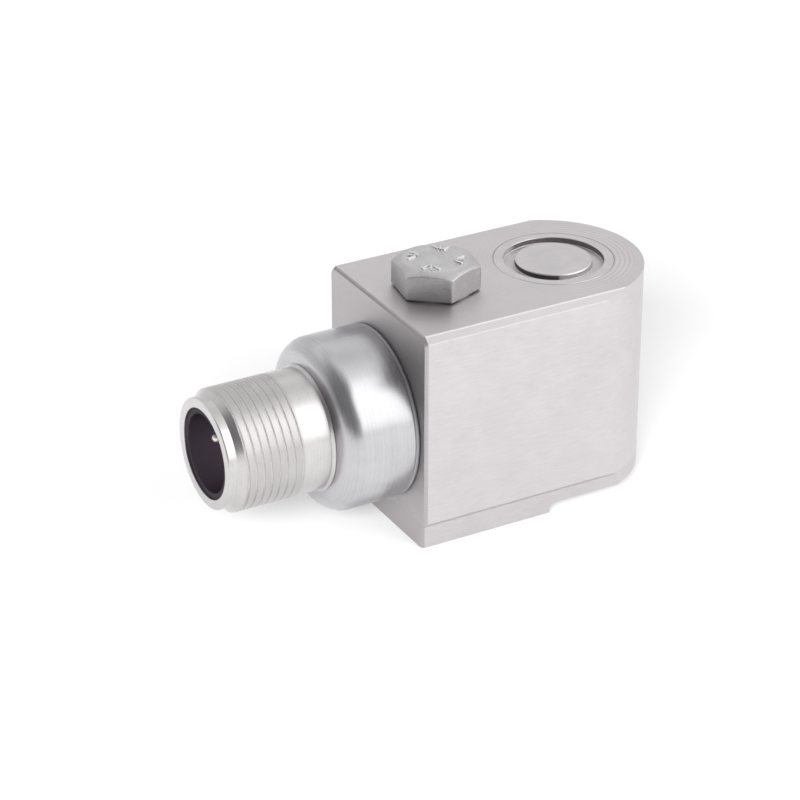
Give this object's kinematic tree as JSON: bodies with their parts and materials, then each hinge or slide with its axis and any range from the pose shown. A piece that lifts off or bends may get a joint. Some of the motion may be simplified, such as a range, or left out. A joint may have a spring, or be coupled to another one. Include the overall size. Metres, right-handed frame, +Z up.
{
  "type": "vibration sensor",
  "caption": "Side-exit industrial vibration sensor: a steel block case with a rounded end, a through bolt, a grooved flush cover and a threaded two-pin connector on a round boss",
  "frame": {"origin": "on the axis of the mounting bolt, at the mounting face under the case", "axes": "+Z up along the bolt, -X forward out of the connector, +X to the rounded end, -Y to the side that faces the viewer"},
  "size_m": [0.0617, 0.025, 0.0338],
  "materials": {
    "case_steel": "satin",
    "turned_steel": "turned",
    "bolt_steel": "matte",
    "insert_plastic": "moulded",
    "contact_metal": "plated",
    "insulator_ceramic": "fired",
    "crystal_ceramic": "fired",
    "element_steel": "turned",
    "sleeve_plastic": "plain",
    "electrode_metal": "rolled",
    "mass_metal": "ground",
    "can_metal": "drawn",
    "board_laminate": "laminate",
    "chip_plastic": "moulded",
    "capacitor_body": "moulded",
    "lead_metal": "tinned",
    "red_wire": "plain",
    "white_wire": "plain"
  },
  "bodies": {
    "root": {"case": "case_steel", "cover": "case_steel", "mounting_bolt": "bolt_steel", "connector_boss": "turned_steel", "connector_shell": "turned_steel", "pin_insert": "insert_plastic", "contact_pin_a": "contact_metal", "contact_pin_b": "contact_metal", "base_insulator": "insulator_ceramic", "element_base": "element_steel", "post_sleeve": "sleeve_plastic", "lower_crystal": "crystal_ceramic", "electrode": "electrode_metal", "upper_crystal": "crystal_ceramic", "seismic_mass": "mass_metal", "spring_washer": "element_steel", "preload_nut": "element_steel", "shield_can": "can_metal", "circuit_board": "board_laminate", "amplifier_chip": "chip_plastic", "capacitor": "capacitor_body", "resistor": "chip_plastic", "element_lead": "lead_metal", "signal_lead": "red_wire", "common_lead": "white_wire"}
  },
  "joints": []
}
